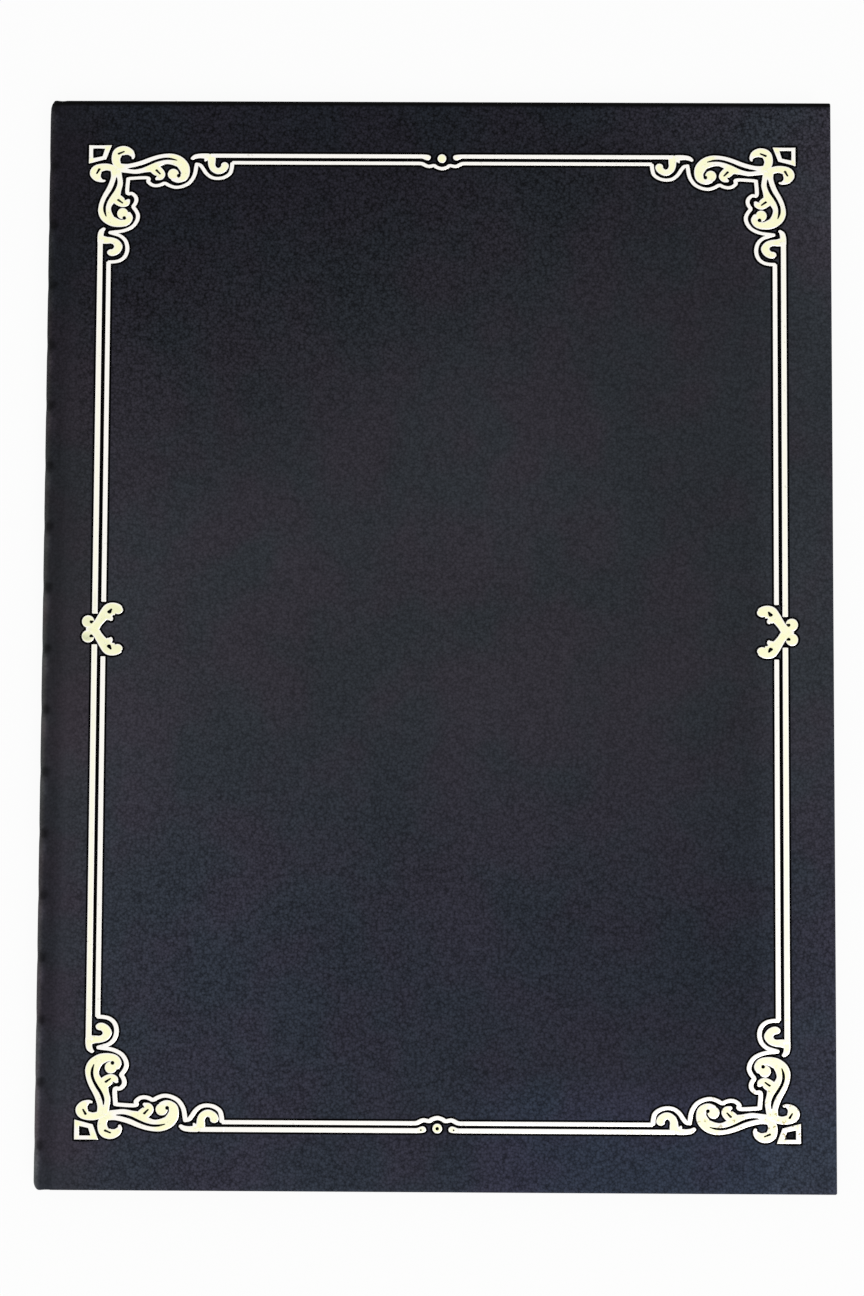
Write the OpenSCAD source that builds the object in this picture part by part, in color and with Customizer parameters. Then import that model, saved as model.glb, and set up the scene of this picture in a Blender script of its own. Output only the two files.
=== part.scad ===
// Certificate holder: two wrapped boards that fold like a book round a soft spine.
// It lies closed on its back cover, spine along -X and head along +Y.
// The origin is at the middle of its footprint, on the surface that it lies on.

/* [Certificate] */
// Width of the sheet that the holder is made for
sheet_w = 210; // [148:1:297]
// Height of the sheet that the holder is made for
sheet_h = 297; // [210:1:420]
// Play left beside the sheet, on each side
sheet_play_w = 0.9; // [0.5:0.1:4]
// Play left above and below the sheet, at each end
sheet_play_h = 2.5; // [0.5:0.1:4]

/* [Cover boards] */
// Thickness of the grey boards
board_t = 1.6; // [1.2:0.1:3]
// Width of cover that shows round each lining
lining_margin = 4; // [3:0.5:8]

/* [Wrap] */
// Thickness of the leatherette
wrap_t = 0.35; // [0.25:0.05:0.5]
// How far the leatherette is turned in over the boards
turn_in = 15; // [12:1:20]
// Radius where the leatherette bends over a board's edge
edge_r = 0.7; // [0.5:0.05:0.85]
// Radius of the two corners at the fore edge, seen from the front
corner_r = 0.8; // [0.6:0.1:1]
// Width of the seam where two turn-ins meet
mitre_gap = 0.12; // [0.08:0.02:0.3]

/* [Spine] */
// Radius of the spine's two rounded edges
spine_r = 2.2; // [1.6:0.1:2.4]
// Radius of the spine's corners at head and tail, seen from the front
spine_corner_r = 1.4; // [0.8:0.1:2]
// Angle round the spine's edge at which it folds
fold_angle = 45; // [35:1:55]
// Gap left at each fold line
fold_gap = 0.2; // [0.1:0.05:0.3]
// Width of the groove pressed beside the spine
groove_w = 2.6; // [2:0.1:4]
// Depth of the groove
groove_d = 0.4; // [0.2:0.05:0.5]
// Flat strip left on each side of the groove
groove_set = 0.2; // [0.2:0.1:1]
// How far the inner strip laps onto each board
liner_lap = 15; // [12:1:20]

/* [Lining] */
// Thickness of the lining where it laps over the turn-ins
lining_t = 0.5; // [0.45:0.05:0.8]
// Clear space between the closed ribbons and the front lining
closing_gap = 0.35; // [0.3:0.05:0.6]

/* [Ribbons] */
// Width of the corner ribbons
ribbon_w = 10; // [6:1:15]
// Thickness of the corner ribbons
ribbon_t = 0.25; // [0.15:0.05:0.3]
// Distance from the lining's corner to the far side of a ribbon
ribbon_leg = 48; // [35:1:60]
// Length of the ribbon's end glued under the lining
ribbon_tab = 8; // [5:1:8]
// Space under a ribbon for the sheet's corner
sheet_gap = 0.3; // [0.2:0.05:0.5]

/* [Foil border] */
// Thickness of the stamped foil
foil_t = 0.1; // [0.05:0.05:0.2]
// Cover left beside the border, at spine and fore edge
border_margin_x = 10.9; // [8:0.1:20]
// Cover left above and below the border
border_margin_y = 13.7; // [8:0.1:20]
// How far the border sits towards the fore edge
border_shift_x = 0.7; // [-1.5:0.1:1.5]
// How far the border sits towards the head
border_shift_y = 0.5; // [-1.5:0.1:1.5]
// Width of a corner ornament
corner_w = 42; // [30:0.1:50]
// Height of a corner ornament
corner_h = 34.4; // [25:0.1:50]
// How far the side knots sit above the border's middle
knot_rise = 1.8; // [0:0.1:3]

/* [Hidden] */
$fn = 48;
overrun = 1;

case_t = board_t + 2 * wrap_t;
lining_top = case_t + lining_t;
ribbon_top = lining_top + sheet_gap + ribbon_t;
closed_t = ribbon_top + closing_gap + lining_top;

lining_w = sheet_w + 2 * sheet_play_w;
lining_h = sheet_h + 2 * sheet_play_h;
joint_w = spine_r + groove_w + 2 * groove_set;
holder_w = joint_w + lining_w + 2 * lining_margin;
holder_h = lining_h + 2 * lining_margin;

fore_x = holder_w / 2;
head_y = holder_h / 2;
round_x = spine_r - fore_x;
board_x = joint_w - fore_x;
groove_x = round_x + groove_set + groove_w / 2;
groove_r = (groove_w * groove_w / 4 + groove_d * groove_d) / (2 * groove_d);
lining_x = board_x + lining_margin;
inner_y = head_y - turn_in;

border_w = holder_w - 2 * border_margin_x;
border_h = holder_h - 2 * border_margin_y;

wrap_colour = "#2f3036";
board_colour = "#8d8a84";
lining_colour = "#e9e3d2";
ribbon_colour = "#efe6c8";
foil_colour = "#efe8cf";

// Foil strokes: each knot is [along, across, half-width], as shares of the ornament's sides,
// counted from the border's outer corner along one of its arms.
curl_shares = [
    [0.206, 0.191, 0.030], [0.186, 0.126, 0.031], [0.202, 0.063, 0.038], [0.242, 0.046, 0.041],
    [0.281, 0.060, 0.030], [0.303, 0.092, 0.016], [0.302, 0.113, 0.010]
];
strand_shares = [
    [0.206, 0.186, 0.034], [0.268, 0.178, 0.021], [0.326, 0.163, 0.020], [0.376, 0.144, 0.020],
    [0.426, 0.120, 0.020], [0.476, 0.101, 0.020], [0.526, 0.092, 0.022], [0.571, 0.099, 0.030],
    [0.614, 0.128, 0.040], [0.649, 0.176, 0.041], [0.663, 0.228, 0.033], [0.652, 0.272, 0.030],
    [0.616, 0.296, 0.024], [0.581, 0.286, 0.020]
];
lower_strand_shares = [
    [0.221, 0.206, 0.026], [0.276, 0.220, 0.020], [0.328, 0.224, 0.021], [0.381, 0.210, 0.024],
    [0.431, 0.191, 0.034], [0.476, 0.162, 0.026], [0.526, 0.142, 0.021], [0.576, 0.142, 0.026],
    [0.621, 0.158, 0.030]
];
bud_shares = [
    [0.431, 0.188, 0.034], [0.466, 0.214, 0.042], [0.492, 0.246, 0.036], [0.486, 0.272, 0.028],
    [0.466, 0.287, 0.013]
];
contour_shares = [
    [0.283, 0.283, 0.0155], [0.404, 0.277, 0.0155], [0.410, 0.310, 0.0155],
    [0.436, 0.336, 0.0155], [0.466, 0.343, 0.0155], [0.496, 0.335, 0.0155],
    [0.523, 0.322, 0.0155], [0.556, 0.342, 0.0155], [0.596, 0.356, 0.0155],
    [0.641, 0.349, 0.0155], [0.686, 0.322, 0.0155], [0.715, 0.280, 0.0155],
    [0.730, 0.236, 0.0155], [0.736, 0.191, 0.0155], [0.741, 0.156, 0.0150]
];
loop_shares = [
    [0.741, 0.161, 0.0155], [0.763, 0.166, 0.0155], [0.784, 0.196, 0.0155],
    [0.806, 0.236, 0.0155], [0.842, 0.270, 0.0155], [0.886, 0.280, 0.0155],
    [0.931, 0.269, 0.0155], [0.968, 0.238, 0.0155], [0.980, 0.196, 0.0155],
    [0.984, 0.152, 0.0160]
];
hook_shares = [
    [0.818, 0.089, 0.030], [0.834, 0.146, 0.023], [0.848, 0.184, 0.024], [0.880, 0.207, 0.026],
    [0.912, 0.198, 0.025], [0.926, 0.171, 0.021], [0.917, 0.156, 0.014]
];
tail_shares = [
    [0.816, 0.092, 0.026], [0.768, 0.089, 0.022], [0.731, 0.096, 0.020], [0.709, 0.113, 0.014]
];
barb_shares = [[0.812, 0.101, 0.024], [0.797, 0.133, 0.007]];
vein_shares = [
    [0.282, 0.198, 0.003], [0.326, 0.196, 0.007], [0.376, 0.179, 0.009], [0.426, 0.151, 0.009],
    [0.471, 0.129, 0.008], [0.516, 0.116, 0.008], [0.561, 0.116, 0.007], [0.604, 0.127, 0.003]
];
curl_slit_shares = [[0.205, 0.074, 0.005], [0.242, 0.055, 0.005]];
bud_slit_shares = [[0.465, 0.212, 0.005], [0.491, 0.244, 0.005]];
scroll_shares = [0.581, 0.246, 0.040];
scroll_eye_shares = [0.618, 0.258, 0.011];
square_shares = [[0, 0], [0.160, 0], [0.122, 0.122], [0, 0.160]];
square_hole_shares = [[0.032, 0.032], [0.109, 0.032], [0.093, 0.093], [0.032, 0.109]];

// The two rules: [across, half-width]
outer_rule_shares = [0.087, 0.0195];
inner_rule_shares = [0.146, 0.0170];

// An upright arm's shares across it, beside those of a level arm
upright_squeeze_share = 0.95;

// Middle of the head and tail rules, counted from the border's middle line
dot_shares = [0, 0.105, 0.032];
outer_end_shares = [[0.135, 0.087, 0.0195], [0.110, 0.093, 0.024], [0.095, 0.098, 0.025]];
garland_shares = [
    [0.170, 0.146, 0.0170], [0.136, 0.149, 0.0170], [0.095, 0.171, 0.0165],
    [0.054, 0.164, 0.0155], [0.036, 0.178, 0.0160], [0, 0.190, 0.0165]
];

// Side knots, counted from the outer rule's middle line
leaf_shares = [
    [-0.038, 0, 0.026], [-0.002, 0.010, 0.032], [0.023, 0.050, 0.031], [0.047, 0.090, 0.035],
    [0.077, 0.132, 0.045], [0.109, 0.165, 0.053], [0.148, 0.162, 0.049], [0.163, 0.153, 0.033]
];
leaf_barb_shares = [[0.084, 0.107, 0.028], [0.106, 0.086, 0.021], [0.111, 0.077, 0.013]];
leaf_eye_shares = [[0.098, 0.140, 0.010], [0.110, 0.162, 0.004]];
lobe_shares = [-0.044, 0.061, 0.043];
lobe_eye_shares = [[-0.022, 0.058, 0.009], [-0.010, 0.064, 0.003]];
outer_break_share = 0.130;
inner_break_share = 0.228;

// A stroke's end stands out by this share of its half-width
cap_share = 0.8;
stroke_steps = 2;

// Smooth curve through four knots, between the second and the third
function curve_point(a, b, c, d, t) =
    0.5 * (2 * b + (c - a) * t + (2 * a - 5 * b + 4 * c - d) * t * t
        + (3 * b - a - 3 * c + d) * t * t * t);

// Knots of a stroke with points added on a smooth curve between them
function smooth_path(knots, steps) = [
    for (i = [0 : len(knots) - 2], s = [0 : steps - 1])
        curve_point(knots[max(i - 1, 0)], knots[i], knots[i + 1],
            knots[min(i + 2, len(knots) - 1)], s / steps),
    knots[len(knots) - 1]
];

// Direction of a path at one of its points
function heading(path, i) =
    let (a = path[max(i - 1, 0)], b = path[min(i + 1, len(path) - 1)], d = [b.x - a.x, b.y - a.y])
    d / norm(d);

// Point beside a path's point, turned by an angle from its heading
function beside(path, i, angle) =
    let (p = path[i], d = heading(path, i), out = cap_share * cos(angle))
    [p.x + p.z * (out * d.x - sin(angle) * d.y), p.y + p.z * (out * d.y + sin(angle) * d.x)];

// Outline of a stroke: one side, the far cap, the other side and the near cap
function stroke_outline(path) =
    let (last = len(path) - 1)
    concat(
        [for (i = [0 : last]) beside(path, i, -90)],
        [for (angle = [-45, 0, 45]) beside(path, last, angle)],
        [for (i = [last : -1 : 0]) beside(path, i, 90)],
        [for (angle = [135, 180, -135]) beside(path, 0, angle)]
    );

// The same knots on the upright arm of the corner, drawn in towards its outer rule
function turned(knots) = [
    for (k = knots)
        [outer_rule_shares[0] + upright_squeeze_share * (k.y - outer_rule_shares[0]), k.x, k.z]
];

// The other half of a stroke that ends on the border's middle line
function reversed_half(knots) = [
    for (i = [len(knots) - 2 : -1 : 0])
        [-knots[i].x, knots[i].y, knots[i].z]
];

// Places in the ornament, taken from shares to millimetres
function placed(points) = [for (p = points) [p.x * corner_w, p.y * corner_h]];

// Foil band that follows a few knots
module stroke(knots, steps = stroke_steps) {
    polygon(placed(stroke_outline(smooth_path(knots, steps))));
}

// Round foil spot
module spot(spot_shares) {
    translate(placed([spot_shares])[0])
        circle(r = spot_shares.z * corner_w);
}

// Straight piece of rule along an arm, from one share to another
module rule(rule_shares, from, to) {
    low = rule_shares[0] - rule_shares[1];
    high = rule_shares[0] + rule_shares[1];
    polygon(placed([[from, low], [to, low], [to, high], [from, high]]));
}

// Straight piece of rule across an arm
module upright_rule(rule_shares, from, to) {
    low = rule_shares[0] - rule_shares[1];
    high = rule_shares[0] + rule_shares[1];
    polygon(placed([[low, from], [high, from], [high, to], [low, to]]));
}

// Section of the covers and spine, drawn with the spine at the left and the outer face below

// Everything on the cover's side of the fold line, less a gap
module cover_side(gap) {
    translate([round_x, spine_r])
        rotate(fold_angle - 90)
            translate([gap, -holder_w])
                square(2 * holder_w);
}

// The skin of a cover beside the spine, from its outer face in to a depth
module joint_skin(depth) {
    intersection() {
        translate([round_x, spine_r])
            difference() {
                circle(r = spine_r);
                circle(r = spine_r - depth);
            }
        cover_side(fold_gap / 2);
        translate([round_x - spine_r, 0])
            square(spine_r);
    }
    difference() {
        union() {
            translate([round_x, 0])
                square([board_x - round_x, depth]);
            intersection() {
                translate([groove_x, groove_d - groove_r])
                    circle(r = groove_r + depth);
                translate([round_x, 0])
                    square([board_x - round_x, case_t]);
            }
        }
        translate([groove_x, groove_d - groove_r])
            circle(r = groove_r);
    }
}

// The layer inside the skin: beside the spine, up the board's edge and along its inner face
module inner_layer(end_x) {
    difference() {
        joint_skin(2 * wrap_t);
        joint_skin(wrap_t);
    }
    translate([board_x - wrap_t, 2 * wrap_t])
        square([wrap_t, case_t - 2 * wrap_t]);
    translate([board_x - wrap_t, case_t - wrap_t])
        square([end_x - board_x + wrap_t, wrap_t]);
}

// Rectangle whose corners at its far end are rounded
module far_rounded(from, to, low, high, r) {
    translate([from, low])
        square([to - from - r, high - low]);
    translate([from, low + r])
        square([to - from, high - low - 2 * r]);
    translate([to - r, low + r])
        circle(r = r);
    translate([to - r, high - r])
        circle(r = r);
}

// A section carried along the holder's height
module along_height(length) {
    rotate([90, 0, 0])
        linear_extrude(height = length, center = true)
            children();
}

// Outline of the closed holder seen from the front
module plan_outline() {
    far_rounded(0, fore_x, -head_y, head_y, corner_r);
    mirror([1, 0])
        far_rounded(0, fore_x, -head_y, head_y, spine_corner_r);
}

// Block with the holder's outline and rounded edges at head and tail
module end_block(top) {
    intersection() {
        linear_extrude(height = top)
            plan_outline();
        rotate([90, 0, 90])
            linear_extrude(height = holder_w, center = true) {
                far_rounded(0, head_y, 0, top, edge_r);
                mirror([1, 0])
                    far_rounded(0, head_y, 0, top, edge_r);
            }
    }
}

// Leatherette of one cover, outer face down, turned in over head, tail and fore edge
module cover_wrap() {
    difference() {
        intersection() {
            along_height(holder_h) {
                joint_skin(2 * wrap_t);
                far_rounded(board_x - wrap_t, fore_x, 0, case_t, edge_r);
            }
            end_block(case_t);
        }
        cover_board();
        along_height(2 * inner_y)
            inner_layer(fore_x - turn_in);
        translate([board_x, -inner_y, case_t - wrap_t])
            cube([fore_x - turn_in - board_x, 2 * inner_y, wrap_t + overrun]);
        for (side = [0, 1])
            mirror([0, side, 0])
                mitre_cut();
    }
}

// Seam between the fore edge's turn-in and the head's
module mitre_cut() {
    translate([fore_x - turn_in, inner_y, case_t - wrap_t])
        rotate([0, 0, 45])
            translate([-overrun, -mitre_gap / 2, 0])
                cube([(turn_in - edge_r) * sqrt(2) + overrun, mitre_gap, wrap_t + overrun]);
}

// Grey board of one cover
module cover_board() {
    translate([board_x, wrap_t - head_y, wrap_t])
        cube([fore_x - wrap_t - board_x, holder_h - 2 * wrap_t, board_t]);
}

// Inner strip of one cover, flush with the turn-ins at head and tail
module cover_liner() {
    along_height(2 * inner_y)
        inner_layer(board_x + liner_lap);
}

// Lining card: it fills the space between the turn-ins and laps over them
module cover_lining() {
    translate([lining_x, -lining_h / 2, case_t])
        cube([lining_w, lining_h, lining_t]);
    translate([board_x + liner_lap, -inner_y, case_t - wrap_t])
        cube([fore_x - turn_in - board_x - liner_lap, 2 * inner_y, wrap_t]);
}

// Moves a piece of the back cover's shape to the front cover
module on_front() {
    translate([0, 0, closed_t])
        mirror([0, 0, 1])
            children();
}

// Skin of the spine between its two fold lines, from its outer face in to a depth
module spine_skin(depth) {
    difference() {
        spine_bulk(0);
        spine_bulk(depth);
        cover_side(-fold_gap / 2);
        translate([0, closed_t])
            mirror([0, 1])
                cover_side(-fold_gap / 2);
    }
}

// The spine's section filled in to its rounded edges, less a depth all round
module spine_bulk(depth) {
    for (z = [spine_r, closed_t - spine_r])
        translate([round_x, z])
            circle(r = spine_r - depth);
    translate([depth - fore_x, spine_r])
        square([spine_r - depth, closed_t - 2 * spine_r]);
}

// Band across one corner of the lining, with the corner at its origin
module ribbon_band() {
    reach = ribbon_t + overrun;
    slant = ribbon_w * sqrt(2);
    polygon([
        [-reach, ribbon_leg + reach],
        [ribbon_leg + reach, -reach],
        [ribbon_leg + reach - slant, -reach],
        [-reach, ribbon_leg + reach - slant]
    ]);
}

// Ribbon over one corner: strap, folds over the lining's edges and glued ends
module corner_ribbon(side_x, side_y) {
    color(ribbon_colour)
        translate([lining_x + lining_w / 2, 0, 0])
            mirror([side_x, 0, 0])
                mirror([0, side_y, 0])
                    translate([-lining_w / 2, -lining_h / 2, 0])
                        ribbon_loop();
}

// Closed band round the lining's corner, cut to the strap and its tabs
module ribbon_loop() {
    intersection() {
        translate([0, 0, case_t])
            linear_extrude(height = ribbon_top - case_t)
                ribbon_band();
        difference() {
            translate([-ribbon_t, -ribbon_t, case_t])
                cube([ribbon_leg + ribbon_t, ribbon_leg + ribbon_t, ribbon_top - case_t]);
            translate([0, 0, case_t + ribbon_t])
                cube([ribbon_leg + overrun, ribbon_leg + overrun,
                    ribbon_top - case_t - 2 * ribbon_t]);
            translate([ribbon_tab, ribbon_tab, case_t - overrun])
                cube([ribbon_leg, ribbon_leg, overrun + ribbon_t + sheet_gap]);
        }
    }
}

module each_ribbon() {
    for (side_x = [0, 1], side_y = [0, 1])
        corner_ribbon(side_x, side_y);
}

module back_board() {
    color(board_colour) cover_board();
}

module back_wrap() {
    color(wrap_colour) cover_wrap();
}

module back_liner() {
    color(wrap_colour) cover_liner();
}

module back_lining() {
    color(lining_colour)
        difference() {
            cover_lining();
            each_ribbon();
        }
}

module spine_wrap() {
    color(wrap_colour)
        difference() {
            intersection() {
                along_height(holder_h) spine_skin(2 * wrap_t);
                linear_extrude(height = closed_t) plan_outline();
            }
            spine_liner();
        }
}

module spine_liner() {
    color(wrap_colour)
        along_height(2 * inner_y)
            difference() {
                spine_skin(2 * wrap_t);
                spine_skin(wrap_t);
            }
}

module front_board() {
    color(board_colour) on_front() cover_board();
}

module front_wrap() {
    color(wrap_colour) on_front() cover_wrap();
}

module front_liner() {
    color(wrap_colour) on_front() cover_liner();
}

module front_lining() {
    color(lining_colour) on_front() cover_lining();
}

// Lays flat foil on the front cover, drawn round the border's middle
module stamped() {
    color(foil_colour)
        translate([border_shift_x, border_shift_y, closed_t])
            linear_extrude(height = foil_t)
                children();
}

// One arm of a corner ornament, before its lines are cut
module arm(turn) {
    for (knots = [
        curl_shares, strand_shares, lower_strand_shares, bud_shares,
        contour_shares, loop_shares, hook_shares, tail_shares, barb_shares
    ])
        stroke(turn ? turned(knots) : knots);
    spot(turn ? turned([scroll_shares])[0] : scroll_shares);
}

// Fine lines and the scroll's eye, cut out of an arm
module arm_lines(turn) {
    for (knots = [vein_shares, curl_slit_shares, bud_slit_shares])
        stroke(turn ? turned(knots) : knots);
    spot(turn ? turned([scroll_eye_shares])[0] : scroll_eye_shares);
}

// Corner ornament: two arms, the start of the rules and the small hollow square
module corner_ornament() {
    difference() {
        union() {
            for (turn = [false, true])
                arm(turn);
            rule(outer_rule_shares, hook_shares[0].x, 1);
            rule(inner_rule_shares, loop_shares[len(loop_shares) - 1].x, 1);
            upright_rule(outer_rule_shares, hook_shares[0].x, 1);
            upright_rule(inner_rule_shares, loop_shares[len(loop_shares) - 1].x, 1);
        }
        for (turn = [false, true])
            arm_lines(turn);
    }
    difference() {
        polygon(placed(square_shares));
        polygon(placed(square_hole_shares));
    }
}

// Places an ornament in one of the border's corners
module foil_corner(side_x, side_y) {
    stamped()
        mirror([side_x, 0])
            mirror([0, side_y])
                translate([-border_w / 2, -border_h / 2])
                    corner_ornament();
}

// Rules of the head or tail: the outer one stops at the dot, the inner one loops round it
module level_rules(side_y) {
    far = border_w / 2 / corner_w - 1;
    stamped()
        mirror([0, side_y])
            translate([0, -border_h / 2])
                {
                    stroke(concat(garland_shares, reversed_half(garland_shares)));
                    for (side_x = [0, 1])
                        mirror([side_x, 0]) {
                            rule(outer_rule_shares, outer_end_shares[0].x, far);
                            rule(inner_rule_shares, garland_shares[0].x, far);
                            stroke(outer_end_shares);
                        }
                }
}

// Rules of the spine's or fore edge's side, broken for the knot
module upright_rules(side_x) {
    far = border_h / 2 / corner_h - 1;
    rise_share = knot_rise / corner_h;
    stamped()
        mirror([side_x, 0])
            translate([-border_w / 2, 0])
                for (side_y = [0, 1])
                    mirror([0, side_y]) {
                        start_share = side_y == 0 ? rise_share : -rise_share;
                        upright_rule(outer_rule_shares, start_share + outer_break_share, far);
                        upright_rule(inner_rule_shares, start_share + inner_break_share, far);
                    }
}

// Knot of two leaves and two lobes near the middle of a side
module side_knot(side_x) {
    stamped()
        mirror([side_x, 0])
            translate([outer_rule_shares[0] * corner_w - border_w / 2, knot_rise])
                difference() {
                    for (side_y = [0, 1])
                        mirror([0, side_y]) {
                            stroke(leaf_shares);
                            stroke(leaf_barb_shares);
                            spot(lobe_shares);
                        }
                    for (side_y = [0, 1])
                        mirror([0, side_y]) {
                            stroke(leaf_eye_shares);
                            stroke(lobe_eye_shares);
                        }
                }
}

// Dot between the ends of the outer rule
module middle_dot(side_y) {
    stamped()
        mirror([0, side_y])
            translate([0, -border_h / 2])
                spot(dot_shares);
}

back_board();
back_wrap();
back_liner();
back_lining();
corner_ribbon(0, 1);  // ribbon_head_left
corner_ribbon(1, 1);  // ribbon_head_right
corner_ribbon(0, 0);  // ribbon_tail_left
corner_ribbon(1, 0);  // ribbon_tail_right
spine_wrap();
spine_liner();
front_board();
front_wrap();
front_liner();
front_lining();
foil_corner(0, 1);  // foil_corner_head_left
foil_corner(1, 1);  // foil_corner_head_right
foil_corner(0, 0);  // foil_corner_tail_left
foil_corner(1, 0);  // foil_corner_tail_right
level_rules(1);  // foil_rule_head
level_rules(0);  // foil_rule_tail
upright_rules(0);  // foil_rule_left
upright_rules(1);  // foil_rule_right
side_knot(0);  // foil_knot_left
side_knot(1);  // foil_knot_right
middle_dot(1);  // foil_dot_head
middle_dot(0);  // foil_dot_tail
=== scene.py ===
"""Dresses the certificate holder: leatherette covers on a soft spine, a stamped foil border,
watered-paper linings and satin ribbons, in a plain studio."""

import math

import bmesh
import bpy
import numpy as np
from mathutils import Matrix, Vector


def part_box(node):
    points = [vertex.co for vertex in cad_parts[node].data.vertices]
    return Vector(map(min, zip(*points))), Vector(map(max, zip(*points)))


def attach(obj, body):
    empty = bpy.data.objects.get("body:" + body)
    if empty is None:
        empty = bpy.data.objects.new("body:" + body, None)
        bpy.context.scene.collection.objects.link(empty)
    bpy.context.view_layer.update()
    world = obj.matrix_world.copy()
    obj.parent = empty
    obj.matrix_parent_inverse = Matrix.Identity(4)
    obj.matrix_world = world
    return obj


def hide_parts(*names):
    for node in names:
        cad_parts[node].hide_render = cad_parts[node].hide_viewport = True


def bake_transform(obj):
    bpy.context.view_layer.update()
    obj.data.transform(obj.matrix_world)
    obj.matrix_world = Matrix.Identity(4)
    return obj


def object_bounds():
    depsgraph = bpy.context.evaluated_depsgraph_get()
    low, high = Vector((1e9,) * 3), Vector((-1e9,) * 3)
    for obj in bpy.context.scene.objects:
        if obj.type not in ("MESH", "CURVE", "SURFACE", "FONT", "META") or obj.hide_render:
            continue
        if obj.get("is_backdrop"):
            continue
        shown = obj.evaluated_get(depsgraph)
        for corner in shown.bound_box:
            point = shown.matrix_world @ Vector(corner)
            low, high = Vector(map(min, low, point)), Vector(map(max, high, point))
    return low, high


bl_info = {
    "name": "Certificate Holder",
    "version": (1, 0, 0),
    "blender": (4, 5, 0),
    "location": "3D View > Sidebar > Holder",
    "description": "Builds the covers, spine, foil border, linings and ribbons of a certificate holder",
    "category": "Add Mesh",
}

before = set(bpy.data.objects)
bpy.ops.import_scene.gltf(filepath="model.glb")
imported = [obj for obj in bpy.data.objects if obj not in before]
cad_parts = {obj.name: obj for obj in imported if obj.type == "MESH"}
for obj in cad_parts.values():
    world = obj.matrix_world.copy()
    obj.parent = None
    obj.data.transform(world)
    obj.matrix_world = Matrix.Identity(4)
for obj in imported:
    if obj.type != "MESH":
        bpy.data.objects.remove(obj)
cad_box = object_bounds()

MM = 0.001

# Places taken from the solids, in metres
board_low, board_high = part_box("front_board")
wrap_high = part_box("front_wrap")[1]
lining_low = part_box("front_lining")[0]
back_lining_low, back_lining_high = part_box("back_lining")
back_wrap_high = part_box("back_wrap")[1]
corner_low, corner_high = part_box("foil_corner_tail_left")
corner_top_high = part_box("foil_corner_head_right")[1]
knot_low, knot_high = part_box("foil_knot_left")

TOP = wrap_high.z
FORE = wrap_high.x
HEAD = wrap_high.y
BACK = -FORE
CASE = back_wrap_high.z
WRAP = TOP - board_high.z
BOARD_X = board_low.x
JOIN_X = BOARD_X - WRAP / 2
FOIL_TOP = corner_high.z

# Sizes and places of forms that the solids leave plain
GROOVE_X = BACK + 3.7 * MM
GROOVE_RISE = 1.7 * MM
DIMPLE_Y = -3.3 * MM
SPINE_R = 2.2 * MM
CORNER_R = 0.55 * MM
EDGE_FALL = 0.8 * MM
TURN_IN = 15 * MM
LINING = 0.5 * MM
RIBBON_LEG = 48 * MM
RIBBON_W = 10 * MM
FOIL_LIFT = 0.028 * MM
FOIL_DOME = 0.05 * MM
FOIL_STEP = 0.0006 * MM
PRESSED_STEP = 0.0004 * MM


# Mesh tools


def grid_faces(rows, cols, close_rows=False, close_cols=False):
    """Quads of a grid of points: each point, the next in its row, and the two below them."""
    row, col = np.meshgrid(
        np.arange(rows if close_rows else rows - 1),
        np.arange(cols if close_cols else cols - 1),
        indexing="ij",
    )
    row, col = row.ravel(), col.ravel()
    below, beside = (row + 1) % rows, (col + 1) % cols
    return np.stack(
        [row * cols + col, row * cols + beside, below * cols + beside, below * cols + col], 1
    )


def ringed(rings, level):
    """Grid over closed rings, each point of them with its own height."""
    points = np.concatenate([rings, level[..., None]], 2)
    return {"points": points, "faces": grid_faces(*rings.shape[:2], close_cols=True)}


def make_piece(name, parts, material, sharp=40, recalculate=True):
    """One mesh from several grids, each a dict of points, faces and point attributes.
    Points that coincide are welded, faces turned outwards, and edges past an angle kept sharp."""
    points, faces, start = [], [], 0
    for part in parts:
        points.append(np.reshape(part["points"], (-1, 3)))
        faces += (part["faces"] + start).tolist()
        faces += [(loop + start).tolist() for loop in part.get("caps", ())]
        start += len(points[-1])
    mesh = bpy.data.meshes.new(name)
    mesh.from_pydata(np.concatenate(points).tolist(), [], faces)
    for key in parts[0].get("values", {}):
        layer = mesh.attributes.new(key, "FLOAT", "POINT")
        values = np.concatenate([np.ravel(part["values"][key]) for part in parts])
        layer.data.foreach_set("value", values.astype(np.float32))
    work = bmesh.new()
    work.from_mesh(mesh)
    bmesh.ops.remove_doubles(work, verts=work.verts, dist=2e-7)
    bmesh.ops.dissolve_degenerate(work, edges=work.edges, dist=1e-8)
    if recalculate:
        bmesh.ops.recalc_face_normals(work, faces=work.faces)
    work.to_mesh(mesh)
    work.free()
    mesh.shade_smooth()
    mesh.set_sharp_from_angle(angle=math.radians(sharp))
    mesh.materials.append(material)
    piece = bpy.data.objects.new(name, mesh)
    bpy.context.scene.collection.objects.link(piece)
    return piece


def thicken(piece, thickness, offset, even):
    """Gives an open skin its thickness: inwards at an offset of -1, to both sides at nought."""
    wall = piece.modifiers.new("wall", "SOLIDIFY")
    wall.thickness = thickness
    wall.offset = offset
    wall.use_even_offset = even


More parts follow.
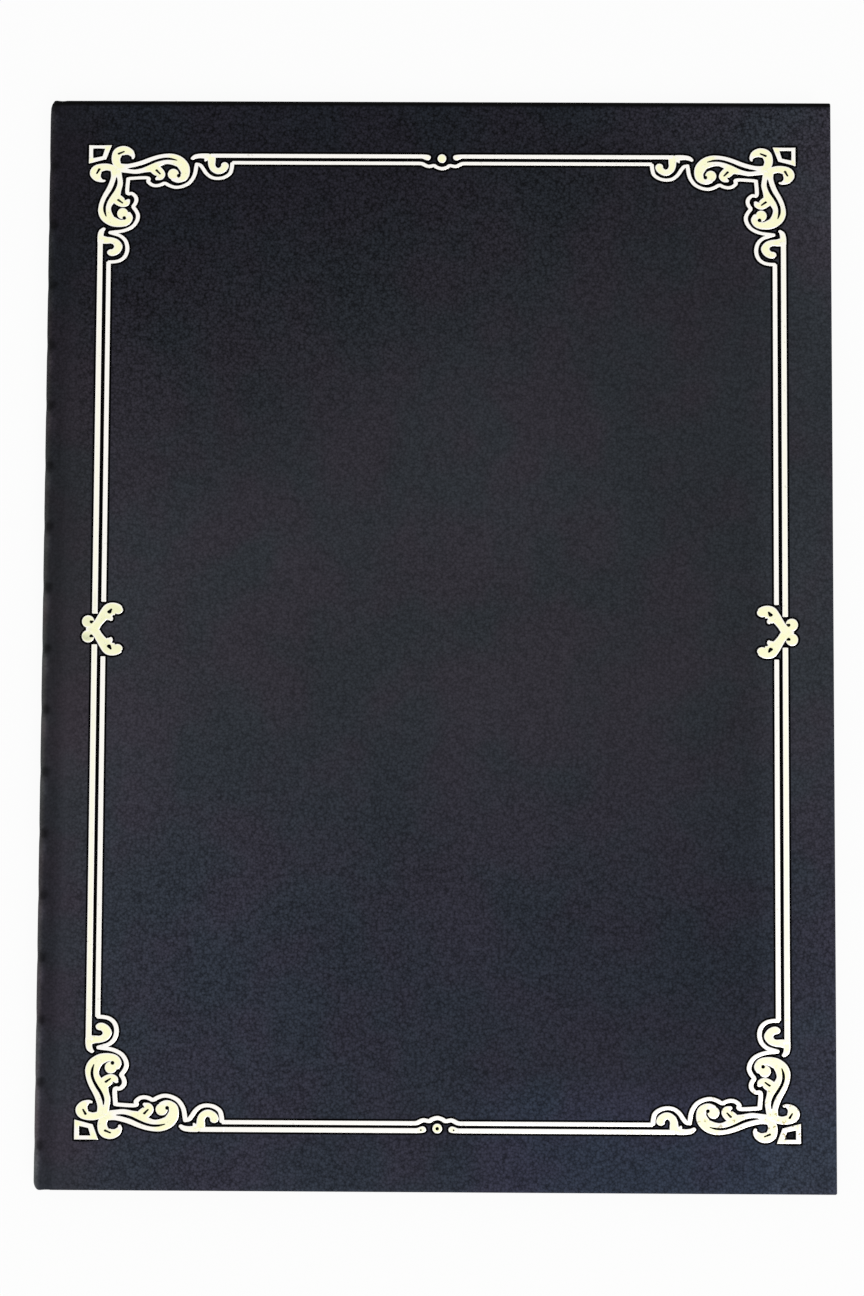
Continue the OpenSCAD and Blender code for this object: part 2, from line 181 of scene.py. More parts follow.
def rounded_rings(low, high, radius, arc=9, side=30):
    """Rings round rectangles, each with its own lowest and highest corner. A corner is a quarter
    circle of its own radius, and a side is cut into even shares."""
    corner = np.array([[1, 1], [-1, 1], [-1, -1], [1, -1]])
    bend = np.maximum(radius, 0)[..., None]
    outer = np.where(corner > 0, np.asarray(high)[:, None], np.asarray(low)[:, None])
    turn = np.radians(90 * np.arange(4)[:, None] + np.linspace(0, 90, arc)[None, :])
    around = np.stack([np.cos(turn), np.sin(turn)], -1)
    arcs = (outer - corner * bend)[:, :, None] + bend[:, :, None] * around
    ends, starts = arcs[:, :, -1], np.roll(arcs[:, :, 0], -1, axis=1)
    share = np.linspace(0, 1, side + 2)[1:-1, None]
    sides = ends[:, :, None] * (1 - share) + starts[:, :, None] * share
    return np.concatenate([arcs, sides], axis=2).reshape(len(arcs), -1, 2)


# Foil drawing: knots are along an arm, across it and half as wide as the stroke


def shares(*knots):
    """Knots written in thousandths of the corner ornament's sides."""
    return np.array(knots, float) / 1000


CURL = shares(
    (206, 191, 30), (186, 126, 31), (202, 63, 38), (242, 46, 41), (281, 60, 30), (303, 92, 16),
    (302, 113, 10),
)
STRAND = shares(
    (206, 186, 34), (268, 178, 21), (326, 163, 20), (376, 144, 20), (426, 120, 20), (476, 101, 20),
    (526, 92, 22), (571, 99, 30), (614, 128, 40), (649, 176, 41), (663, 228, 33), (652, 272, 30),
    (616, 296, 24), (581, 286, 20),
)
LOWER_STRAND = shares(
    (221, 206, 26), (276, 220, 20), (328, 224, 21), (381, 210, 24), (431, 191, 34), (476, 162, 26),
    (526, 142, 21), (576, 142, 26), (621, 158, 30),
)
BUD = shares((431, 188, 34), (466, 214, 42), (492, 246, 36), (486, 272, 28), (466, 287, 13))
CONTOUR = shares(
    (283, 283, 15.5), (404, 277, 15.5), (410, 310, 15.5), (436, 336, 15.5), (466, 343, 15.5),
    (496, 335, 15.5), (523, 322, 15.5), (556, 342, 15.5), (596, 356, 15.5), (641, 349, 15.5),
    (686, 322, 15.5), (715, 280, 15.5), (730, 236, 15.5), (736, 191, 15.5), (741, 156, 15),
)
LOOP = shares(
    (741, 161, 15.5), (763, 166, 15.5), (784, 196, 15.5), (806, 236, 15.5), (842, 270, 15.5),
    (886, 280, 15.5), (931, 269, 15.5), (968, 238, 15.5), (980, 196, 15.5), (984, 152, 16),
)
UPRIGHT_LOOP = shares(
    (741, 156, 15.5), (752, 188, 15.5), (770, 232, 15.5), (808, 267, 15.5), (860, 282, 15.5),
    (910, 279, 15.5), (950, 261, 15.5), (977, 229, 15.5), (988, 190, 15.5), (990, 152, 16),
)
HOOK = shares(
    (838, 97, 34), (843, 132, 29), (844, 166, 26), (857, 199, 26), (888, 218, 28), (919, 203, 28),
    (934, 175, 28), (929, 160, 25),
)
UPRIGHT_HOOK = (HOOK - (0.963, 0, 0)) * (1.15, 1, 1.08) + (0.945, 0, 0)
TAIL = shares((816, 92, 26), (768, 89, 22), (731, 96, 20), (709, 113, 14))
BARB = shares((812, 101, 24), (797, 133, 7))
VEIN = shares(
    (282, 198, 4), (326, 196, 9), (376, 179, 11), (426, 151, 11), (471, 129, 10), (516, 116, 10),
    (561, 116, 9), (604, 127, 4),
)
CURL_SLIT = shares((205, 74, 9), (242, 55, 6))
BUD_SLIT = shares((465, 212, 9), (491, 244, 6))
SCROLL = shares((581, 246, 40))
SCROLL_EYE = shares((618, 258, 13))
SQUARE = shares((0, 0), (160, 0), (122, 122), (0, 160))
SQUARE_HOLE = shares((32, 32), (109, 32), (93, 93), (32, 109))
OUTER_RULE = shares(87, 19.5)
INNER_RULE = shares(146, 17)
DOT = shares((0, 105, 32))
DOT_PRICK = shares((0, 104, 12))
END_PRICK = shares((109, 92, 6))
OUTER_END = shares((135, 87, 19.5), (110, 93, 24), (95, 98, 25))
GARLAND = shares(
    (170, 146, 17), (136, 149, 17), (95, 171, 16.5), (54, 164, 15.5), (36, 178, 16), (0, 190, 16.5),
)
LEAF = shares(
    (-38, 0, 26), (-2, 10, 32), (23, 50, 31), (47, 90, 35), (77, 132, 45), (109, 165, 53),
    (148, 162, 49), (163, 153, 33),
)
LEAF_BARB = shares((84, 107, 28), (106, 86, 21), (111, 77, 13))
LEAF_EYE = shares((98, 140, 15), (112, 164, 7))
LOBE = shares((-44, 61, 43))
LOBE_EYE = shares((-23, 58, 14), (-10, 64, 6))
OUTER_BREAK = 0.130
INNER_BREAK = 0.228
UPRIGHT_SQUEEZE = 0.95

CORNER_SIZE = np.array([corner_high.x - corner_low.x, corner_high.y - corner_low.y])
BORDER_LOW = np.array(corner_low.xy)
BORDER_HIGH = np.array(corner_top_high.xy)
BORDER_MIDDLE = (BORDER_LOW + BORDER_HIGH) / 2
BORDER_HALF = (BORDER_HIGH - BORDER_LOW) / 2
KNOT_Y = (knot_low.y + knot_high.y) / 2
KNOT_RISE = KNOT_Y - BORDER_MIDDLE[1]
KNOT_X = float(BORDER_HALF[0] - OUTER_RULE[0] * CORNER_SIZE[0])


def smooth_path(knots, steps):
    """Catmull-Rom curve through the knots: half of twice the second knot, plus the third less the
    first times t, and so on up to t cubed, worked out for all spans at once."""
    padded = np.concatenate([knots[:1], knots, knots[-1:]])
    a, b, c, d = (padded[i : len(padded) - 3 + i, None] for i in range(4))
    t = (np.arange(steps) / steps)[None, :, None]
    curve = 0.5 * (
        2 * b
        + (c - a) * t
        + (2 * a - 5 * b + 4 * c - d) * t**2
        + (3 * b - a - 3 * c + d) * t**3
    )
    return np.concatenate([curve.reshape(-1, 3), knots[-1:]])


def turned(knots):
    """The knots on the upright arm: along and across change places, drawn in to the outer rule."""
    across = OUTER_RULE[0] + UPRIGHT_SQUEEZE * (knots[:, 1] - OUTER_RULE[0])
    return np.stack([across, knots[:, 0], knots[:, 2]], 1)


def mirrored(knots, axis, side):
    """The knots, mirrored in one direction where side is -1."""
    knots = np.array(knots)
    knots[:, axis] *= side
    return knots


def stroke_rows(knots, steps=6, cap=0.8, cap_rows=5):
    """Rows across a stroke: its middle, the half of it to the left, its heading, and how far
    each row is round the cap. A cap row at angle a lies cap times cos a half-widths further
    along and is sin a as wide."""
    path = smooth_path(np.asarray(knots, float), steps)
    ahead = np.gradient(path[:, :2], axis=0)
    ahead /= np.linalg.norm(ahead, axis=1, keepdims=True)
    turn = np.radians(np.linspace(0, 90, cap_rows + 1)[:-1])
    first, last = np.zeros(cap_rows, int), np.full(cap_rows, len(path) - 1)
    index = np.concatenate([first, np.arange(len(path)), last])
    forward = np.concatenate([-np.cos(turn), np.zeros(len(path)), np.cos(turn[::-1])])[:, None]
    width = np.concatenate([np.sin(turn), np.ones(len(path)), np.sin(turn[::-1])])[:, None]
    point, ahead = path[index], ahead[index]
    left = np.stack([-ahead[:, 1], ahead[:, 0]], 1)
    reach = left * CORNER_SIZE
    reach /= np.linalg.norm(reach, axis=1, keepdims=True)
    heading = np.stack([reach[:, 1], -reach[:, 0]], 1)
    return {
        "middle": (point[:, :2] + cap * point[:, 2:] * forward * ahead) * CORNER_SIZE,
        "half": point[:, 2:] * width * left * CORNER_SIZE,
        "reach": reach * width, "heading": heading * forward, "closed": False,
    }


def spot_rows(spot, rows=17):
    """Rows across a round spot: each at cos a radii along, sin a radii to each side."""
    turn = np.radians(np.linspace(180, 0, rows))[:, None]
    centre, radius = spot[0, :2] * CORNER_SIZE, spot[0, 2] * CORNER_SIZE[0]
    ahead, left = np.cos(turn) * (1, 0), np.sin(turn) * (0, 1)
    return {
        "middle": centre + radius * ahead, "half": radius * left, "reach": left,
        "heading": ahead, "closed": False,
    }


def frame_rows(outside, inside, steps=8):
    """Rows across a hollow shape, from its hole's outline to its own, in even shares a side."""
    share = (np.arange(steps) / steps)[None, :, None]
    out, hole = (
        (p * (1 - share) + np.roll(p, -1, axis=0) * share).reshape(-1, 2)
        for p in (outside[:, None] * CORNER_SIZE, inside[:, None] * CORNER_SIZE)
    )
    half = (out - hole) / 2
    reach = half / np.linalg.norm(half, axis=1, keepdims=True)
    return {
        "middle": (out + hole) / 2, "half": half, "reach": reach * 1.15,
        "heading": reach * 0, "closed": True,
    }


def placed(rows, origin, mirror):
    """Rows moved to a place on the cover, mirrored where mirror is -1."""
    moved = {key: rows[key] * mirror for key in ("middle", "half", "reach", "heading")}
    moved["middle"] = moved["middle"] + origin
    moved["closed"] = rows["closed"]
    return moved


def band(rows, across, height, base, margin=0.0):
    """Surface over rows: middle plus across times half, spread by a margin all round, at a base
    level plus the height given for each share across. The section is closed underneath."""
    across = np.asarray(across, float)
    side = rows["half"] + margin * rows["reach"]
    middle = rows["middle"] + margin * rows["heading"]
    flat = middle[:, None] + across[None, :, None] * side[:, None]
    width = np.linalg.norm(side, axis=1)[:, None]
    level = base + height * np.minimum(width / (0.5 * MM), 1)
    depth = (1 - np.abs(across)) * width
    return {
        "points": np.concatenate([flat, level[..., None]], 2),
        "faces": grid_faces(*level.shape, rows["closed"], True),
        "values": {
            "depth": np.clip(depth / MM, 0, 3),
            "girth": np.clip(width / MM + 0 * depth, 0, 3),
            "edge": np.abs(across) + 0 * depth,
        },
    }


def arm_rows(upright):
    """Strokes, spots and fine lines of one arm of a corner ornament."""
    shape = turned if upright else np.array
    loop, hook = (UPRIGHT_LOOP, UPRIGHT_HOOK) if upright else (LOOP, HOOK)
    strokes = [CURL, STRAND, LOWER_STRAND, BUD, CONTOUR, loop, hook, TAIL, BARB]
    foil = [stroke_rows(shape(knots)) for knots in strokes] + [spot_rows(shape(SCROLL))]
    lines = [stroke_rows(shape(knots)) for knots in (VEIN, CURL_SLIT, BUD_SLIT)]
    lines.append(spot_rows(shape(SCROLL_EYE), 9))
    for (across, width), start in ((OUTER_RULE, hook[0, 0]), (INNER_RULE, loop[-1, 0])):
        rule = [(start, across, width), (1, across, width)]
        rule = [(y, x, w) for x, y, w in rule] if upright else rule
        foil.append(stroke_rows(rule, 12, 0.05, 1))
    return foil, lines


def corner_rows():
    """Strokes, lines and hollow of a whole corner ornament."""
    level, upright = arm_rows(False), arm_rows(True)
    square = frame_rows(SQUARE, SQUARE_HOLE)
    hollow = frame_rows(SQUARE_HOLE, np.tile(SQUARE_HOLE.mean(0), (4, 1)))
    return level[0] + upright[0] + [square], level[1] + upright[1], [hollow]


def end_rows(pricked):
    """Rules and middle loop of the head or tail, counted from the border's middle line. The
    foil may be pricked through at the outer rule's ends."""
    far = BORDER_HALF[0] / CORNER_SIZE[0] - 1
    foil = [stroke_rows(np.concatenate([GARLAND, mirrored(GARLAND[-2::-1], 0, -1)]))]
    for side in (1, -1):
        foil.append(stroke_rows(mirrored(OUTER_END, 0, side)))
        for (across, width), start in ((OUTER_RULE, OUTER_END[0, 0]), (INNER_RULE, GARLAND[0, 0])):
            rule = [(side * start, across, width), (side * far, across, width)]
            foil.append(stroke_rows(rule, 60, 0.05, 1))
    pricks = [spot_rows(mirrored(END_PRICK, 0, side), 9) for side in (1, -1)]
    return foil, pricks if pricked else [], []


def side_rows():
    """Rules of a long side, broken for its knot, counted from the border's middle line."""
    far = BORDER_HALF[1] / CORNER_SIZE[1] - 1
    rise = KNOT_RISE / CORNER_SIZE[1]
    foil = []
    for side in (1, -1):
        for (across, width), start in ((OUTER_RULE, OUTER_BREAK), (INNER_RULE, INNER_BREAK)):
            rule = [(across, rise + side * start, width), (across, side * far, width)]
            foil.append(stroke_rows(rule, 90, 0.25, 3))
    return foil, [], []


def knot_rows():
    """Leaves and lobes of a side knot, counted from the outer rule's middle line."""
    foil, lines = [], []
    for side in (1, -1):
        foil += [stroke_rows(mirrored(knots, 1, side)) for knots in (LEAF, LEAF_BARB)]
        foil.append(spot_rows(mirrored(LOBE, 1, side)))
        lines += [stroke_rows(mirrored(knots, 1, side)) for knots in (LEAF_EYE, LOBE_EYE)]
    return foil, lines, []


def dot_rows(pricked):
    """The dot between the outer rule's ends, whose foil may be pricked through."""
    return [spot_rows(DOT)], [spot_rows(DOT_PRICK, 9)] if pricked else [], []


# Node tools


class Value:
    """A number worked out by a material's nodes, so that a sum of such is written as a sum."""

    def __init__(self, shader, socket):
        self.shader = shader
        self.socket = socket

    def maths(self, operation, other=0.0, after=False):
        """One step of arithmetic with another value, which this one may come after."""
        pair = (other, self) if after else (self, other)
        made = self.shader.node("ShaderNodeMath", dict(enumerate(pair)), operation=operation)
        return Value(self.shader, made.outputs[0])

    def __add__(self, other):
        return self.maths("ADD", other)

    def __sub__(self, other):
        return self.maths("SUBTRACT", other)

    def __rsub__(self, other):
        return self.maths("SUBTRACT", other, True)

    def __mul__(self, other):
        return self.maths("MULTIPLY", other)

    def __truediv__(self, other):
        return self.maths("DIVIDE", other)

    def __abs__(self):
        return self.maths("ABSOLUTE")

    def most(self, other):
        """The greater of this value and another."""
        return self.maths("MAXIMUM", other)

    def waves(self, count):
        """Sine that goes round a number of times while the value grows by one."""
        return (self * (2 * math.pi * count)).maths("SINE")

    def step(self, low, high, start=0.0, end=1.0):
        """A smooth step from start to end as the value passes from low to high."""
        inputs = {"Value": self, "From Min": low, "From Max": high, "To Min": start, "To Max": end}
        made = self.shader.node("ShaderNodeMapRange", inputs, interpolation_type="SMOOTHSTEP")
        return Value(self.shader, made.outputs["Result"])


class Shader:
    """Short way to build a material's nodes."""

    def __init__(self, name, owner=None):
        self.material = owner or bpy.data.materials.new(name)
        self.material.use_nodes = True
        self.tree = self.material.node_tree
        if owner is None:
            self.surface = self.tree.nodes["Principled BSDF"]
            self.place = self.node("ShaderNodeTexCoord").outputs["Object"]

    def node(self, kind, inputs=None, **settings):
        """A node with its settings and inputs; an input may be a value or another's output."""
        made = self.tree.nodes.new(kind)
        for key, value in settings.items():
            setattr(made, key, value)
        for key, value in (inputs or {}).items():
            self.put(made.inputs[key], value)
        return made

    def put(self, socket, value):
        """Sets a socket to a number or colour, or joins it to an output."""
        value = value.socket if isinstance(value, Value) else value
        if isinstance(value, bpy.types.NodeSocket):
            self.tree.links.new(value, socket)
        elif socket.type == "RGBA" and len(value) == 3:
            socket.default_value = (*value, 1)
        else:
            socket.default_value = value

    def attribute(self, name):
        """A number that the mesh carries at its points."""
        made = self.node("ShaderNodeAttribute", attribute_name=name, attribute_type="GEOMETRY")
        return Value(self, made.outputs["Fac"])

    def axes(self, place=None):
        """The three coordinates of a place, by default the object's own."""
        parts = self.node("ShaderNodeSeparateXYZ", {0: place or self.place}).outputs
        return [Value(self, part) for part in parts]

    def squeezed(self, scale):
        """The place with each coordinate multiplied."""
        return self.node("ShaderNodeMapping", {"Vector": self.place, "Scale": scale}).outputs[0]

    def noise(self, scale, detail=3.0, roughness=0.5, vector=None, distortion=0.0):
        """Value of a noise, from 0 to 1."""
        inputs = {
            "Vector": vector or self.place, "Scale": scale, "Detail": detail,
            "Roughness": roughness, "Distortion": distortion,
        }
        return Value(self, self.node("ShaderNodeTexNoise", inputs).outputs["Fac"])

    def cells(self, scale):
        """Distance to the nearest of scattered points, and a number that belongs to it."""
        inputs = {"Vector": self.place, "Scale": scale}
        cell = self.node("ShaderNodeTexVoronoi", inputs, feature="F1").outputs
        lot = self.node("ShaderNodeSeparateColor", {0: cell["Color"]}).outputs[0]
        return Value(self, cell["Distance"]), Value(self, lot)

    def mix(self, share, first, second):
        """One colour turning into another."""
        made = self.node("ShaderNodeMix", {"Factor": share}, data_type="RGBA")
        self.put(made.inputs[6], first)
        self.put(made.inputs[7], second)
        return made.outputs[2]

    def tinted(self, colour, tint):
        """A colour times another."""
        inputs = {0: colour, 1: tint}
        return self.node("ShaderNodeVectorMath", inputs, operation="MULTIPLY").outputs[0]

    def bump(self, height, strength, distance, after=None):
        """Bump from a height, laid over another bump where one is given."""
        inputs = {"Height": height, "Strength": strength, "Distance": distance}
        if after is not None:
            inputs["Normal"] = after
        return self.node("ShaderNodeBump", inputs).outputs["Normal"]

    def seen(self):
        """One where the camera, a reflection or a view through glass looks, else nought."""
        path = self.node("ShaderNodeLightPath").outputs
        mirrored_ray = Value(self, path["Is Glossy Ray"]).most(path["Is Transmission Ray"])
        return mirrored_ray.most(path["Is Camera Ray"])

    def finish(self, **sockets):
        """Sets the surface's sockets, named in words with _ for a space."""
        for key, value in sockets.items():
            self.put(self.surface.inputs[key.replace("_", " ")], value)
        return self.material


def darker(share, colour):
    """A colour with only a share of its light."""
    return tuple(share * v for v in colour)


# Settings that a user would change


class HolderCoverSettings(bpy.types.PropertyGroup):
    """Leatherette of the covers and the spine."""

    # Head end's colour; the two that follow are lighter copies of it as painted light
    colour: bpy.props.FloatVectorProperty(
        name="Leatherette", description="Colour of the leatherette", subtype="COLOR", size=3,
        min=0, max=1, default=(0.0112, 0.0121, 0.0176),
    )
    # Painted light: the leatherette drawn lighter over the cover's middle
    lit_middle_colour: bpy.props.FloatVectorProperty(
        name="Worn middle", description="Colour where handling has paled the leatherette",
        subtype="COLOR", size=3, min=0, max=1, default=(0.0312, 0.0322, 0.0406),
    )
    # Painted light: the tail end drawn lighter and bluer
    lit_tail_colour: bpy.props.FloatVectorProperty(
        name="Tail end", description="Colour where light has turned the leatherette bluer",
        subtype="COLOR", size=3, min=0, max=1, default=(0.0255, 0.0282, 0.0418),
    )
    grain: bpy.props.FloatProperty(
        name="Grain", description="Size of one pebble of the grain", default=0.75 * MM,
        min=0.2 * MM, max=2 * MM, unit="LENGTH",
    )
    edge_roll: bpy.props.FloatProperty(
        name="Edge roll", description="How far in the outer face starts to round over",
        default=1.4 * MM, min=0.5 * MM, max=3 * MM, unit="LENGTH",
    )
    groove: bpy.props.FloatProperty(
        name="Groove", description="Depth of the groove pressed beside the spine",
        default=0.4 * MM, min=0.1 * MM, max=0.6 * MM, unit="LENGTH",
    )
    groove_width: bpy.props.FloatProperty(
        name="Groove width", description="Distance over which the groove runs out on the cover",
        default=3.6 * MM, min=1 * MM, max=6 * MM, unit="LENGTH",
    )
    dimple: bpy.props.FloatProperty(
        name="Dimples", description="Depth of the soft dimples along the fold",
        default=0.3 * MM, min=0, max=0.4 * MM, unit="LENGTH",
    )
    dimple_pitch: bpy.props.FloatProperty(
        name="Dimple pitch", description="Distance from one dimple to the next",
        default=17.4 * MM, min=8 * MM, max=40 * MM, unit="LENGTH",
    )


class HolderFoilSettings(bpy.types.PropertyGroup):
    """Stamped foil border."""

    pale: bpy.props.FloatVectorProperty(
        name="Fine lines", description="Colour of the foil's fine lines", subtype="COLOR", size=3,
        min=0, max=1, default=(0.97, 0.945, 0.90),
    )
    warm: bpy.props.FloatVectorProperty(
        name="Broad parts", description="Colour of the foil's broad parts", subtype="COLOR",
        size=3, min=0, max=1, default=(0.965, 0.955, 0.620),
    )
    dull: bpy.props.FloatVectorProperty(
        name="Dull knots", description="Colour where the foil of the side knots has dulled",
        subtype="COLOR", size=3, min=0, max=1, default=(0.60, 0.63, 0.42),
    )
    # Painted shadow: near black round the foil, for the shade of the groove pressed there and the
    # leatherette that the pressing darkens
    pressed: bpy.props.FloatVectorProperty(
        name="Pressed edge", description="Colour of the leatherette pressed down round the foil",
        subtype="COLOR", size=3, min=0, max=1, default=(0.0008, 0.0006, 0.0008),
    )
    outline: bpy.props.FloatProperty(
        name="Outline", description="Width of the pressed edge round the foil",
        default=0.58 * MM, min=0.1 * MM, max=1 * MM, unit="LENGTH",
    )


class HolderInsideSettings(bpy.types.PropertyGroup):
    """Linings, ribbons and boards."""

    lining: bpy.props.FloatVectorProperty(
        name="Lining", description="Colour of the watered paper", subtype="COLOR", size=3,
        min=0, max=1, default=(0.80, 0.74, 0.58),
    )
    ribbon: bpy.props.FloatVectorProperty(
        name="Ribbon", description="Colour of the satin ribbon", subtype="COLOR", size=3,
        min=0, max=1, default=(0.72, 0.585, 0.35),
    )
    board: bpy.props.FloatVectorProperty(
        name="Board", description="Colour of the grey board", subtype="COLOR", size=3,
        min=0, max=1, default=(0.24, 0.225, 0.20),
    )
    arch: bpy.props.FloatProperty(
        name="Ribbon arch", description="How far a ribbon lifts in its middle",
        default=0.26 * MM, min=0, max=0.3 * MM, unit="LENGTH",
    )


class HolderStageSettings(bpy.types.PropertyGroup):
    """Studio floor, lamps and camera."""

    distance: bpy.props.FloatProperty(
        name="Camera height", description="Height of the camera above the floor",
        default=0.5, min=0.3, max=2, unit="LENGTH",
    )
    lens: bpy.props.FloatProperty(
        name="Lens", description="Focal length on a 36 mm high frame", default=48.42, min=20,
        max=200,
    )
    key: bpy.props.FloatProperty(
        name="Key lamp", description="Power of the lamp past the tail's fore corner", default=25.0,
        min=0, max=200, unit="POWER",
    )
    sky: bpy.props.FloatProperty(
        name="Room light", description="Strength of the even light from all round", default=0.6,
        min=0, max=2,
    )


# Materials


def leatherette(settings):
    """Fine pebbled leatherette: voronoi cells of uneven tone with soft valleys. Its colour is drawn
    lighter over the middle and at the tail, with broad lighter and darker patches, all painted light
    and shade; painted shade in the groove beside the spine and on the roll over the head's edge; a
    painted highlight along the spine's edge, with puckers there painted dark at one end and lit
    after; a few specks of dust, and the thin seams where the turned-in leatherette meets."""
    s = Shader("charcoal_leatherette")
    x, y, z = s.axes()
    out = s.attribute("out")
    front = z.step(TOP - 1.2 * MM, TOP - 0.3 * MM)
    cell = 1 / settings.grain
    valley, lot = s.cells(cell)
    crease = valley * 0.6 + s.noise(cell * 1.6, 2.0, 0.6) * 0.6
    tops = crease.step(0.80, 0.42)
    head_end = (x * -0.35 + y).step(0.035, 0.165)
    tail_end = y.step(0.0, -0.10) * x.step(-0.115, -0.06, 0.55, 1.0) * front
    fore_tail = y.step(-0.118, -0.134) * x.step(-0.005, 0.03) * x.step(0.102, 0.088, 0.3, 1.0)
    fore_tail = fore_tail * front
    # Painted light: the head end's colour, with lighter copies of it over the middle and lighter, bluer
    # at the tail
    colour = s.mix(head_end, settings.lit_middle_colour, settings.colour)
    colour = s.mix(tail_end, colour, settings.lit_tail_colour)
    coarse = head_end.step(0, 1, 0.6, 1.3) + tail_end.step(0, 1, 0.0, 0.28)
    coarse = coarse * x.step(BACK + 7 * MM, BACK + 13 * MM, 0.6, 1.0)
    shade = (tops * 0.7 + lot * 0.6 - 0.72) * coarse + s.noise(22, 3.0, 0.6) * 0.4 + 0.8
    # Painted light and shade: broad patches lighter towards both fore corners and the spine side,
    # darker towards the fore edge, lighter in a strip along it and near the head, then spine_tone's
    # painted light and shade near the edges
    for lift in (
        (x - y).step(0.17, 0.27, 1.0, 1.3),
        fore_tail.step(0, 1, 1.0, 1.25),
        (x + y).step(0.18, 0.25, 1.0, 1.7),
        (y * 0.4 + x).step(-0.02, -0.13, 1.0, 1.26),
        x.step(0.01, 0.09, 1.0, 0.85),
        x.step(0.088, 0.097, 1.0, y.step(0.02, 0.06, 1.36, 1.12)),
        y.step(0.139, 0.147, 1.0, 1.08),
        spine_tone(settings.dimple_pitch, x, y, out),
    ):
        shade = shade * lift
    shaded = s.node(
        "ShaderNodeVectorMath", {0: colour, "Scale": shade.most(0.0)}, operation="SCALE"
    ).outputs[0]
    speck, which = s.cells(95.0)
    dust = speck.step(0.035, 0.018) * which.step(0.985, 0.987)
    colour = s.mix(dust * 0.4, shaded, (0.45, 0.42, 0.36))
    colour = s.mix(seam_mask(x, y, z, out), colour, (0.002, 0.002, 0.002))
    mottle = s.noise(48, 2.0, 0.5).step(0.35, 0.65)
    colour = s.tinted(colour, s.mix(mottle, (0.92, 1.03, 1.0), (1.08, 0.97, 1.0)))
    # The first tint is painted light, bluer towards the tail's fore corner where the cover is drawn
    # lighter; the last warms the painted highlight along the spine's edge
    for share, tint in (
        (fore_tail, (0.98, 1.04, 1.15)),
        (x.step(BACK + 20 * MM, BACK + 12 * MM) * front, (1.03, 0.95, 0.92)),
        (x.step(BACK + 2.6 * MM, BACK + 0.8 * MM) * out, (1.0, 0.97, 0.80)),
    ):
        colour = s.tinted(colour, s.mix(share, (1.0, 1.0, 1.0), tint))
    relief = s.bump(1.0 - crease, 0.6, 0.10 * MM)
    relief = s.bump(s.noise(260, 2.0), 0.25, 0.25 * MM, relief)
    return s.finish(
        Base_Color=colour, Roughness=tops * 0.1 + 0.55, Normal=relief, Specular_IOR_Level=0.05,
    )


def spine_tone(pitch, x, y, out):
    """Share of the leatherette's tone that is left near its edges, all of it painted light and shade:
    little on the roll over the head's edge and less in the groove, painted shade; more along the
    spine's edge, a painted highlight that grows towards the tail. Each pucker along that edge has
    painted shade at one end and a painted highlight after it."""
    off = x - BACK
    # Painted shade in the groove: how much tone is left changes along the spine, with a darker patch
    # near its middle
    level = y.step(-0.10, 0.06, 0.56, 0.75) + y.step(0.06, 0.12, 0.0, 0.17)
    level = level + y.step(-0.09, -0.13, 0.0, 0.15)
    middle = abs(y - 12 * MM).step(0.01, 0.055, 0.76, 1.0)
    groove = off.step(3.4 * MM, 8.2 * MM, level, 1.0) * off.step(6 * MM, 20 * MM, middle, 1.0)
    # Puckers along the spine's edge: pit and notch are painted shade at each one's head end, lit and
    # swell a painted highlight after it
    share = ((DIMPLE_Y - y) / pitch).maths("FRACT")
    lit = share.step(0.06, 0.22) * share.step(0.52, 0.30)
    pit = share.step(0.14, 0.01).most(share.step(0.86, 0.98))
    # worn and rim: painted highlight along the spine's edge, stronger towards the tail
    worn = y.step(0.12, -0.02, 0.75, 1.3) + y.step(-0.08, -0.13, 0.0, 1.1)
    rim = off.step(2.4 * MM, 0.3 * MM) * worn
    swell = off.step(3.0 * MM, 1.4 * MM) * lit * 0.6
    notch = off.step(0.2 * MM, 1.4 * MM) * off.step(4.4 * MM, 1.8 * MM) * out * pit
    tone = ((rim + swell) * out + groove) * notch.step(0, 1, 1.0, 0.4)
    # Painted shade on the roll over the head's edge, left off the upright end face
    roll = y.step(HEAD - 2.1 * MM, HEAD - 0.9 * MM, 1.0, 0.0)
    return tone * roll.most(y.step(HEAD - 0.03 * MM, HEAD - 0.01 * MM))


def seam_mask(x, y, z, out):
    """Share of seam at a place on the inner face: near the line from the turn-ins' corner to the
    cover's corner, and near the ends of the inner strip beside the spine."""
    from_end = HEAD - abs(y)
    mitre = abs((FORE - x) - from_end).step(0.22 * MM, 0.08 * MM)
    strip = abs(from_end - TURN_IN).step(0.16 * MM, 0.06 * MM)
    reach = x.step(BOARD_X + TURN_IN, BOARD_X + TURN_IN - 0.1 * MM)
    level = abs(z - TOP / 2)
    inside = level.step(TOP / 2 - CASE + 0.3 * MM, TOP / 2 - CASE + 0.15 * MM)
    return mitre.most(strip * reach * (1.0 - out)) * inside


